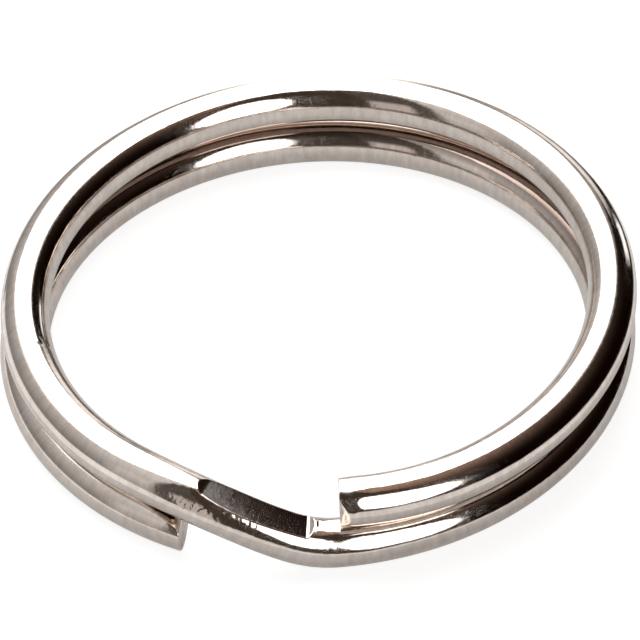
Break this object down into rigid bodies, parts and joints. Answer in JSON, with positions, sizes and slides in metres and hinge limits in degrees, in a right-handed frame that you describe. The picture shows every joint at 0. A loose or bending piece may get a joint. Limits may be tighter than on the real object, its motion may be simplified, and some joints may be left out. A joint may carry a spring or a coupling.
{
  "type": "split key ring",
  "caption": "Round split ring of spring wire: overlapping turns joined by a crank, prised open at either free end to thread keys on.",
  "frame": {"origin": "middle of the ring on the plane that the lower turn rests on", "axes": "+Z along the ring's axis, from the lower turn to the upper one; -Y towards the crank"},
  "size_m": [0.0252, 0.0251, 0.0043],
  "materials": {
    "nickel_plate": "bright nickel plate on drawn spring wire, polished, with fine drawing lines"
  },
  "bodies": {
    "lower_free_end": {"lower_free_end": "nickel_plate"},
    "lower_left_arc": {"lower_left_arc": "nickel_plate"},
    "lower_back_arc": {"lower_back_arc": "nickel_plate"},
    "lower_right_arc": {"lower_right_arc": "nickel_plate"},
    "crank": {"crank": "nickel_plate"},
    "upper_left_arc": {"upper_left_arc": "nickel_plate"},
    "upper_back_arc": {"upper_back_arc": "nickel_plate"},
    "upper_right_arc": {"upper_right_arc": "nickel_plate"},
    "upper_free_end": {"upper_free_end": "nickel_plate"}
  },
  "joints": [
    {"name": "lower_end_twist", "type": "hinge", "parent": "lower_free_end", "child": "lower_left_arc", "pos_m": [-0.01131, -0.00276, 0.00097], "axis": [0.2419, -0.9703, 0], "range_deg": [0, 1.03]},
    {"name": "lower_opening", "type": "hinge", "parent": "lower_left_arc", "child": "lower_back_arc", "pos_m": [-0.00287, 0.01129, 0.00097], "axis": [-0.9703, -0.2419, 0], "range_deg": [0, 4.25], "stiffness_Nm_per_rad": 12},
    {"name": "lower_right_twist", "type": "hinge", "parent": "lower_back_arc", "child": "lower_right_arc", "pos_m": [0.01118, 0.00285, 0.00097], "axis": [-0.2419, 0.9703, 0], "range_deg": [0, 4.17]},
    {"name": "lower_root_twist", "type": "hinge", "parent": "lower_right_arc", "child": "crank", "pos_m": [0.00274, -0.0112, 0.00097], "axis": [0.9703, 0.2419, 0], "range_deg": [0, 0.9]},
    {"name": "upper_root_twist", "type": "hinge", "parent": "crank", "child": "upper_left_arc", "pos_m": [-0.00809, -0.0082, 0.00294], "axis": [0.7071, -0.7071, -0.0028], "range_deg": [0, 0.99]},
    {"name": "upper_opening", "type": "hinge", "parent": "upper_left_arc", "child": "upper_back_arc", "pos_m": [-0.00809, 0.00811, 0.00315], "axis": [-0.707, -0.707, -0.016], "range_deg": [0, 4.25], "stiffness_Nm_per_rad": 12},
    {"name": "upper_right_twist", "type": "hinge", "parent": "upper_back_arc", "child": "upper_right_arc", "pos_m": [0.00822, 0.00811, 0.00331], "axis": [-0.7071, 0.7071, 0.0028], "range_deg": [0, 4.21]},
    {"name": "upper_end_twist", "type": "hinge", "parent": "upper_right_arc", "child": "upper_free_end", "pos_m": [0.00822, -0.0082, 0.00309], "axis": [0.707, 0.707, 0.016], "range_deg": [0, 0.94]}
  ],
  "couplings": [
    {"joint": "lower_end_twist", "follows": "lower_opening", "ratio": 0.23},
    {"joint": "lower_right_twist", "follows": "lower_opening", "ratio": 0.97},
    {"joint": "lower_root_twist", "follows": "lower_opening", "ratio": 0.2},
    {"joint": "upper_root_twist", "follows": "upper_opening", "ratio": 0.22},
    {"joint": "upper_right_twist", "follows": "upper_opening", "ratio": 0.98},
    {"joint": "upper_end_twist", "follows": "upper_opening", "ratio": 0.21}
  ]
}
